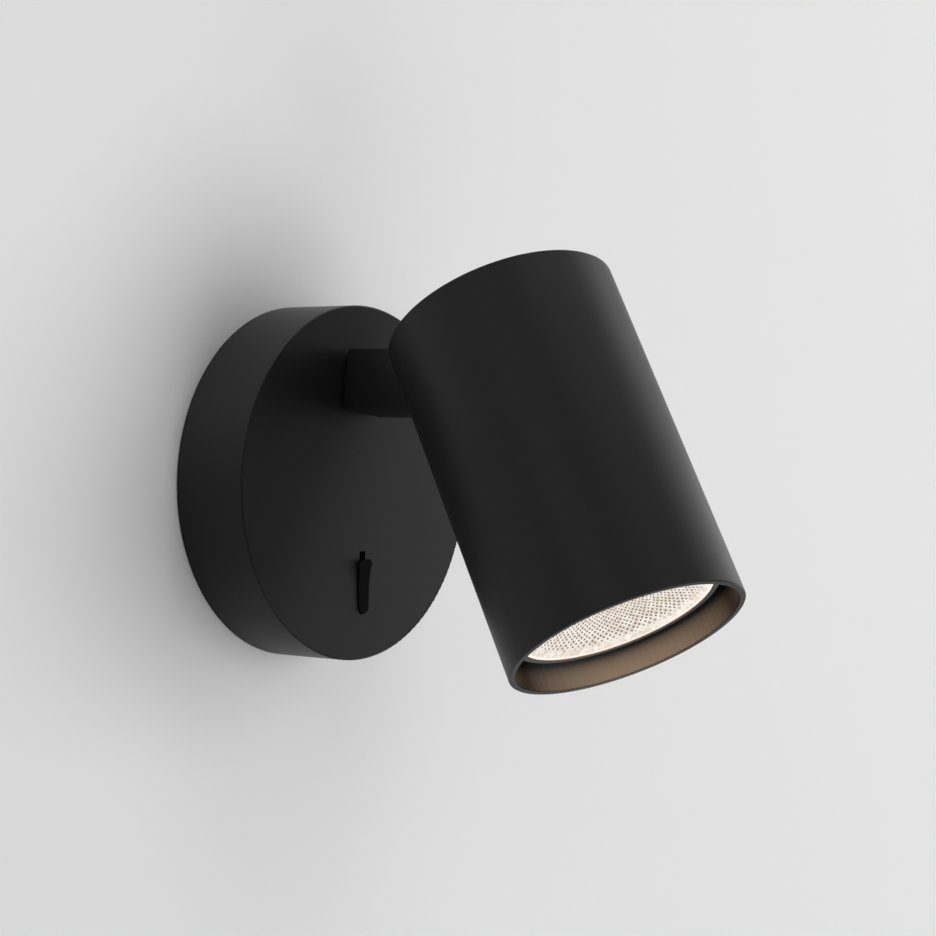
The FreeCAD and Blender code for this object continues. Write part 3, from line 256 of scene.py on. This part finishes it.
def makeTurnedGroup():
    # Fine tool lines of plated or turned metal: noise drawn out along one axis, with blots that stain and
    # dull it.
    tree, given, out = newGroup("toolLines", {
        "Lines Per Metre": 4000.0, "Depth": 0.15, "Tone": grey(0.6), "Stain": grey(0.5),
        "Rough Low": 0.25, "Rough High": 0.42,
    }, surfaceSockets)
    place = put(tree, "ShaderNodeTexCoord").outputs["Object"]
    drawn = put(tree, "ShaderNodeMapping", {"Vector": place, "Scale": toolMarks["drawn"]}).outputs[0]
    lines = noise(tree, drawn, given["Lines Per Metre"], toolMarks["lineDetail"], toolMarks["lineRough"])
    blot = noise(tree, place, toolMarks["blotsPerMetre"], toolMarks["blotDetail"])
    stained = ranged(tree, blot, *toolMarks["stainRange"])
    tree.links.new(mixed(tree, stained, given["Tone"], given["Stain"]), out["Color"])
    rough = ranged(tree, blot, *toolMarks["roughRange"], given["Rough Low"], given["Rough High"])
    tree.links.new(rough, out["Roughness"])
    tree.links.new(bumped(tree, lines, given["Depth"], toolMarks["lineHeight"]), out["Normal"])
    return tree


grainGroup = makeGrainGroup()
turnedGroup = makeTurnedGroup()

finishes = {
    # slot: effect, its values, the shader's own values
    "black_coat": (grainGroup, {
        "Grains Per Metre": 2600.0, "Depth": 0.16, "Tone": grey(0.011), "Tone Change": 0.12,
        "Rough Low": 0.38, "Rough High": 0.42,
    }, {"Specular IOR Level": 0.14}),
    "gloss_black": (grainGroup, {
        "Grains Per Metre": 900.0, "Depth": 0.03, "Tone": grey(0.002),
        "Rough Low": 0.24, "Rough High": 0.3,
    }, {"Specular IOR Level": 0.05}),
    "black_plastic": (grainGroup, {
        "Grains Per Metre": 1800.0, "Depth": 0.3, "Tone": grey(0.014),
        "Rough Low": 0.5, "Rough High": 0.6,
    }, {}),
    "black_screws": (grainGroup, {
        "Grains Per Metre": 3000.0, "Depth": 0.15, "Tone": grey(0.02),
        "Rough Low": 0.3, "Rough High": 0.42,
    }, {"Metallic": 0.6}),
    "zinc_steel": (turnedGroup, {
        "Tone": (0.60, 0.61, 0.63, 1.0), "Stain": (0.49, 0.50, 0.53, 1.0),
    }, {"Metallic": 1.0}),
    "brass": (turnedGroup, {
        "Tone": (0.76, 0.57, 0.27, 1.0), "Stain": (0.62, 0.43, 0.19, 1.0),
    }, {"Metallic": 1.0}),
    "lamp_aluminium": (turnedGroup, {
        "Tone": grey(0.68), "Stain": grey(0.58), "Rough Low": 0.32, "Rough High": 0.46,
    }, {"Metallic": 1.0}),
    "rubber": (grainGroup, {
        "Grains Per Metre": 1500.0, "Depth": 0.25, "Tone": grey(0.022),
        "Rough Low": 0.68, "Rough High": 0.8,
    }, {}),
    "white_plastic": (grainGroup, {
        "Grains Per Metre": 1600.0, "Depth": 0.2, "Tone": (0.72, 0.71, 0.67, 1.0), "Tone Change": 0.08,
        "Rough Low": 0.4, "Rough High": 0.5,
    }, {"Subsurface Weight": 0.1, "Subsurface Scale": 1 * mm}),
    "nylon": (grainGroup, {
        "Grains Per Metre": 1400.0, "Depth": 0.15, "Tone": (0.66, 0.64, 0.56, 1.0), "Tone Change": 0.1,
        "Rough Low": 0.38, "Rough High": 0.5,
    }, {"Subsurface Weight": 0.15, "Subsurface Scale": 1 * mm}),
    "lead_sleeve": (grainGroup, {
        "Grains Per Metre": 1100.0, "Depth": 0.2, "Tone": (0.70, 0.68, 0.62, 1.0), "Tone Change": 0.1,
        "Rough Low": 0.5, "Rough High": 0.62,
    }, {}),
    "ceramic": (grainGroup, {
        "Grains Per Metre": 700.0, "Depth": 0.1, "Tone": (0.78, 0.76, 0.70, 1.0), "Tone Change": 0.08,
        "Rough Low": 0.18, "Rough High": 0.3,
    }, {"Coat Weight": 0.3}),
    "lamp_grey": (grainGroup, {
        "Grains Per Metre": 1800.0, "Depth": 0.12, "Tone": grey(0.16),
        "Rough Low": 0.35, "Rough High": 0.45,
    }, {}),
    "board": (grainGroup, {
        "Grains Per Metre": 900.0, "Depth": 0.1, "Tone": (0.78, 0.78, 0.75, 1.0), "Tone Change": 0.06,
        "Rough Low": 0.3, "Rough High": 0.4,
    }, {}),
}


def surfaceMaterial(name, group, effect, shader):
    # A Principled surface whose colour, roughness and normal come from one of the effects.
    material, tree = newMaterial(name)
    made = useGroup(tree, group, effect)
    show(tree, put(tree, "ShaderNodeBsdfPrincipled", {
        "Base Color": made["Color"], "Roughness": made["Roughness"], "Normal": made["Normal"], **shader,
    }))
    return material


materials = {slot: surfaceMaterial(slot, *values) for slot, values in finishes.items()}

lensLook = {
    "facet": (0.70, 0.63, 0.54, 1.0),
    "pale": (0.90, 0.86, 0.80, 1.0),
    "paleRange": (0.2, 0.9),  # of a facet's own random number, from the common tone to the pale one
    "pit": (0.06, 0.05, 0.042, 1.0),
    "pitSize": 0.34,  # of the distance between two pits
    "pitFloor": 0.16,  # inside this the pit is at its darkest
    "scatter": 0.2,  # how far a pit strays from the lattice
    "plainRows": 0.7,  # rows without pits next to the rim
    "rim": (0.93, 0.92, 0.90, 1.0),
    "source": (1.0, 0.93, 0.80, 1.0),
    "spill": (9.0, 6.0, 3.8, 1.0),  # what the lamp throws on the bore, against what the eye sees of it
    "shell": {
        "Base Color": grey(0.03), "Roughness": 0.3, "Specular IOR Level": 0.1, "Emission Strength": 1.0,
    },
}


def makeFacetGroup():
    # Pressed facets of a lit optic: dark pits on a diamond lattice, each facet a little different in tone.
    # Pits start where the attribute rows, counted from the rim, passes the plain rows.
    tree, given, out = newGroup("pressedFacets", {
        "Pit": lensLook["pit"], "Facet": lensLook["facet"], "Pale": lensLook["pale"],
        "Pit Size": lensLook["pitSize"], "Plain": lensLook["plainRows"],
    }, {"Color": "NodeSocketColor"})
    lattice = put(tree, "ShaderNodeUVMap", uv_map="facets").outputs["UV"]
    cells = put(tree, "ShaderNodeTexVoronoi", {
        "Vector": lattice, "Scale": 1.0, "Randomness": lensLook["scatter"],
    }, voronoi_dimensions="2D").outputs
    tint = put(tree, "ShaderNodeSeparateColor", {0: cells["Color"]}).outputs[0]
    pit = ranged(tree, cells["Distance"], given["Pit Size"], lensLook["pitFloor"])
    rows = put(tree, "ShaderNodeAttribute", attribute_name="rows").outputs["Fac"]
    inner = reckoned(tree, "SUBTRACT", rows, given["Plain"], use_clamp=True)
    lit = mixed(tree, ranged(tree, tint, *lensLook["paleRange"]), given["Facet"], given["Pale"])
    tree.links.new(mixed(tree, reckoned(tree, "MULTIPLY", pit, inner), lit, given["Pit"]), out["Color"])
    return tree


def makeLensMaterial():
    # Lit optic: facets, a white rim and a bright middle. Other surfaces get its warmer, stronger spill.
    material, tree = newMaterial("lens")
    face = useGroup(tree, makeFacetGroup(), {})["Color"]
    for part in ("rim", "source"):
        share = put(tree, "ShaderNodeAttribute", attribute_name=part).outputs["Fac"]
        face = mixed(tree, share, face, lensLook[part])
    seen = put(tree, "ShaderNodeLightPath").outputs["Is Camera Ray"]
    glow = mixed(tree, seen, lensLook["spill"], face)
    show(tree, put(tree, "ShaderNodeBsdfPrincipled", {"Emission Color": glow, **lensLook["shell"]}))
    return material


# Painted reflection: the bore has the outer black coat, and these tones stand in for the lamp's light it gives
# back.
boreLook = {
    "facing": grey(0.078),
    "grazing": grey(0.004),
    "grazingRange": (0.05, 0.6),  # of Layer Weight's Facing
    "coat": {"Roughness": 0.6, "Specular IOR Level": 0.03},
    "reach": 75 * mm,  # the painted reflection in the bore goes this deep from the mouth
    "squarely": 0.5,  # least cosine between a bore face's normal and the way to the axis
}


def makeBoreMaterial():
    # Painted reflection of the lamp's light on the black bore: paler facing the eye, near black at a grazing
    # angle.
    material, tree = newMaterial("borePaintedReflection")
    facing = put(tree, "ShaderNodeLayerWeight", {"Blend": 0.5}).outputs["Facing"]
    grazing = ranged(tree, facing, *boreLook["grazingRange"])
    tone = mixed(tree, grazing, boreLook["facing"], boreLook["grazing"])
    show(tree, put(tree, "ShaderNodeBsdfPrincipled", {"Base Color": tone, **boreLook["coat"]}))
    return material


materials["lens"] = makeLensMaterial()
materials["bore_coat"] = makeBoreMaterial()
print("materials made")


def makeWallMaterial():
    # Pale paint seen from the front only: from behind it is clear, and shadows pass through it.
    material, tree = newMaterial("paintedWall")
    place = put(tree, "ShaderNodeTexCoord").outputs["Object"]
    peel = noise(tree, place, studio["peelPerMetre"], studio["peelDetail"])
    bump = bumped(tree, peel, studio["peelStrength"], studio["peelHeight"])
    paint = put(tree, "ShaderNodeBsdfDiffuse", {"Color": grey(studio["wallTone"]), "Normal": bump})
    clear = put(tree, "ShaderNodeBsdfTransparent")
    behind = put(tree, "ShaderNodeNewGeometry").outputs["Backfacing"]
    shadow = put(tree, "ShaderNodeLightPath").outputs["Is Shadow Ray"]
    either = reckoned(tree, "MAXIMUM", behind, shadow)
    show(tree, put(tree, "ShaderNodeMixShader", {0: either, 1: paint.outputs[0], 2: clear.outputs[0]}))
    return material


def makeFloorMaterial():
    material, tree = newMaterial("paleFloor")
    show(tree, put(tree, "ShaderNodeBsdfDiffuse", {"Color": grey(studio["wallTone"])}))
    return material


def makePlane(name, corners, material):
    mesh = bpy.data.meshes.new(name)
    mesh.from_pydata(corners, [], [tuple(range(len(corners)))])
    mesh.materials.append(material)
    plane = bpy.data.objects.new(name, mesh)
    scene.collection.objects.link(plane)


def makeRoom():
    # A wall behind the base and a floor well below it, each a square with its face to the object.
    signs = ((-1, -1), (1, -1), (1, 1), (-1, 1))
    half = studio["wallSize"] / 2
    reach = studio["floorSize"] / 2
    makePlane("wall", [(half * x, studio["wallGap"], half * z) for x, z in signs], makeWallMaterial())
    makePlane("floor", [(reach * x, reach * y, -studio["floorDrop"]) for x, y in signs], makeFloorMaterial())


def makeWorld():
    # A dim light from all round; the eye sees the paler backdrop in its place.
    world = bpy.data.worlds.new("studio")
    world.use_nodes = True
    scene.world = world
    tree = world.node_tree
    seen = put(tree, "ShaderNodeLightPath").outputs["Is Camera Ray"]
    tone = mixed(tree, seen, grey(studio["worldTone"]), grey(studio["backdropTone"]))
    tree.links.new(tone, tree.nodes["Background"].inputs["Color"])


scene.view_settings.view_transform = "Standard"
makeCamera()
makeLamps()
makeRoom()
makeWorld()
print("studio made")


def addPiece(name, vertices, faces, body, slot):
    # A new smooth piece that rides on a body and takes a slot's material.
    mesh = bpy.data.meshes.new(name)
    mesh.from_pydata(vertices.tolist(), [], faces)
    mesh.materials.append(materials[slot])
    mesh.polygons.foreach_set("use_smooth", np.ones(len(mesh.polygons), dtype=bool))
    piece = bpy.data.objects.new(name, mesh)
    scene.collection.objects.link(piece)
    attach(piece, body)
    return piece


def headFrame():
    # The point where the head's axis meets the mouth, and the head's own axes as rows: side, other, outwards.
    along = Vector(joints["lamp_twist"]["axis"]).normalized()
    side = -Vector(joints["tilt"]["axis"]).normalized()
    return np.array(joints["lamp_twist"]["pos_m"]), np.array([side, along.cross(side), along])


mouthCentre, headAxes = headFrame()

lens = {
    # lengths in mm
    "radius": 23.3,
    "bowlRadius": 22.9,
    "recess": 6.6,
    "bowlDepth": 10.6,
    "wall": 0.8,
    "edge": 2.0,
    "sourceRadius": 3.2,  # the bright middle
    "sourceEnd": 4.8,  # where its glow has faded
    "facetsRound": 86,
    "around": 240,
    "frontRings": 72,
    "backRings": 24,
    "firstRing": 1e-3,  # where the rings start, as a share of the way from the pole to the rim
    "crowding": 0.8,  # power of that share: below 1 the front's rings crowd towards the rim
}


def revolved(radii, depths, around):
    # A profile turned about the head's axis: point (r cos t, r sin t, -d) for each of the turns t. The first
    # and the last point of the profile lie on the axis, and each is one vertex.
    turns = np.arange(around) * 2 * np.pi / around
    rings = np.stack([
        radii[1:-1, None] * np.cos(turns),
        radii[1:-1, None] * np.sin(turns),
        np.repeat(-depths[1:-1, None], around, axis=1),
    ], axis=-1).reshape(-1, 3)
    poles = np.array([[0, 0, -depths[0]], [0, 0, -depths[-1]]])
    count = len(radii) - 2
    index = np.arange(count * around).reshape(count, around)
    following = np.roll(index, -1, axis=1)
    quads = np.stack([index[:-1], following[:-1], following[1:], index[1:]], axis=-1).reshape(-1, 4)
    first = np.full(around, count * around)
    caps = np.concatenate([
        np.stack([first, following[0], index[0]], axis=-1),
        np.stack([first + 1, index[-1], following[-1]], axis=-1),
    ])
    return np.concatenate([rings, poles]), quads.tolist(), caps.tolist()


def facetRows(inner):
    # Facets sit on a lattice of log-spiral rows: a point's row is the wall's length over its radius, added up
    # from the rim inwards, so that facets keep their proportions while they shrink towards the middle.
    slope = np.hypot(1, 2 * lens["bowlDepth"] * inner / lens["bowlRadius"]**2)[::-1]
    steps = np.diff(-np.log(inner[::-1])) * (slope[1:] + slope[:-1]) / 2
    rows = np.concatenate([[0], np.cumsum(steps)])[::-1]
    return rows * lens["facetsRound"] / (2 * np.pi)


def layFacets(mesh, rows, quadCount):
    # Per corner of a face, u counts facets round the rim and v counts rows; the lattice's axes are u + v and
    # u - v. A quad's far side takes the next column, so that the last quad doesn't run back to column 0.
    corner = np.empty(len(mesh.loops), dtype=np.int32)
    mesh.loops.foreach_get("vertex_index", corner)
    column = (corner % lens["around"]).astype(float)
    quadColumns = column[:quadCount * 4].reshape(-1, 4)
    quadColumns[:, 1:3] = quadColumns[:, [0, 3]] + 1
    u = column * lens["facetsRound"] / lens["around"]
    v = rows[corner]
    mesh.uv_layers.new(name="facets").data.foreach_set("uv", np.stack([u + v, u - v], axis=-1).ravel())


def makeLens():
    # The optic is a bowl, depth = bowlDepth (1 - r2 / R2), with a flat rim and such a bowl again as its back.
    # The middle's glow is 1 as far as sourceRadius and falls evenly to 0 at sourceEnd.
    out = lens["bowlRadius"]
    front = out * np.linspace(lens["firstRing"], 1, lens["frontRings"]) ** lens["crowding"]
    back = out * np.linspace(1, lens["firstRing"], lens["backRings"])
    bottom = lens["bowlDepth"] + lens["wall"]
    radii = np.concatenate([[0], front, [lens["radius"], lens["radius"]], back, [0]])
    depths = lens["recess"] + np.concatenate([
        [lens["bowlDepth"]],
        lens["bowlDepth"] * (1 - (front / out) ** 2),
        [0, lens["edge"]],
        lens["edge"] + (bottom - lens["edge"]) * (1 - (back / out) ** 2),
        [bottom],
    ])
    points, quads, caps = revolved(radii, depths, lens["around"])
    piece = addPiece("lampLens", mouthCentre + points * mm @ headAxes, quads + caps, "lamp", "lens")
    ring = np.arange(len(radii) - 2)
    rows = np.zeros(len(ring))
    rows[:lens["frontRings"]] = facetRows(front)
    glow = np.clip((lens["sourceEnd"] - radii[1:-1]) / (lens["sourceEnd"] - lens["sourceRadius"]), 0, 1)
    perRing = {
        # name: a value for each ring, then for the front's pole and the back's
        "rows": (rows, [rows[0], 0]),
        "rim": (ring >= lens["frontRings"] - 1, [0, 1]),
        "source": (glow * (ring < lens["frontRings"]), [1, 0]),
    }
    perPoint = {name: np.concatenate([np.repeat(values, lens["around"]), ends])
                for name, (values, ends) in perRing.items()}
    for name, values in perPoint.items():
        attribute = piece.data.attributes.new(name, "FLOAT", "POINT")
        attribute.data.foreach_set("value", values.astype(np.float32))
    layFacets(piece.data, perPoint["rows"], len(quads))
    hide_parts("lamp_lens")


makeLens()
print("lens made")

copies = {
    "weld": 0.001 * mm,  # points closer than this become one
    "flat": 1,  # degrees: faces that meet at less are joined before an edge is broken
    "sharp": 50,  # degrees: outer edges that turn by more are broken
    "smooth": 25,  # degrees: edges that turn by less are shaded smooth
    "segments": 3,
    "armEdge": 0.3 * mm,
    "capEdge": 0.15 * mm,
}


def copied(node, name, body, slot, edge=0):
    # A copy of a CAD node, merged, with its sharp outer edges rounded by edge, that takes the node's place.
    mesh = nodes[node].data.copy()
    mesh.transform(nodes[node].matrix_world)
    whole = bmesh.new()
    whole.from_mesh(mesh)
    bmesh.ops.remove_doubles(whole, verts=whole.verts, dist=copies["weld"])
    if edge:
        flat = math.radians(copies["flat"])
        turn = math.radians(copies["sharp"])
        bmesh.ops.dissolve_limit(whole, angle_limit=flat, verts=whole.verts, edges=whole.edges)
        sharp = [side for side in whole.edges if side.is_convex and side.calc_face_angle(0) > turn]
        bmesh.ops.bevel(whole, geom=sharp, offset=edge, segments=copies["segments"], profile=0.5,
                        affect="EDGES", clamp_overlap=True)
    whole.to_mesh(mesh)
    whole.free()
    mesh.materials.clear()
    mesh.materials.append(materials[slot])
    mesh.set_sharp_from_angle(angle=math.radians(copies["smooth"]))
    piece = bpy.data.objects.new(name, mesh)
    scene.collection.objects.link(piece)
    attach(piece, body)
    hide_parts(node)
    return piece


def makeHeadTube():
    # The bore's faces look at the head's axis: the cosine between a face's normal and the line from the axis
    # to its middle is well below 0. Past the reach from the mouth, round the rear cap, the outer coat stays.
    # Faces of the bore within the reach take the painted reflection of the lamp's light; the others keep the outer
    # coat.
    mesh = copied("head_tube", "headTube", "head", "black_coat").data
    mesh.materials.append(materials["bore_coat"])
    middles = np.empty(len(mesh.polygons) * 3)
    normals = np.empty(len(mesh.polygons) * 3)
    mesh.polygons.foreach_get("center", middles)
    mesh.polygons.foreach_get("normal", normals)
    offset = middles.reshape(-1, 3) - mouthCentre
    along = headAxes[2]
    depth = offset @ along
    outwards = offset - np.outer(depth, along)
    lean = np.einsum("ij,ij->i", outwards, normals.reshape(-1, 3)) / np.linalg.norm(outwards, axis=1)
    inside = (lean < -boreLook["squarely"]) & (np.abs(depth) < boreLook["reach"])
    mesh.polygons.foreach_set("material_index", inside.astype(np.int32))


makeHeadTube()
copied("arm_block", "armBlock", "arm", "black_coat", edge=copies["armEdge"])
copied("rear_cap", "rearCap", "head", "black_coat", edge=copies["capEdge"])
print("head tube, arm block and rear cap made")


def dressNodes():
    # Every CAD node gets the material of its own slot, in all the places its mesh has.
    for entry in record["subparts"]:
        node = nodes[entry["node"]]
        material = materials[entry["material_slot"]]
        if not node.data.materials:
            node.data.materials.append(material)
        for place in node.material_slots:
            place.material = material


dressNodes()
print("finishes given to", len(record["subparts"]), "nodes")
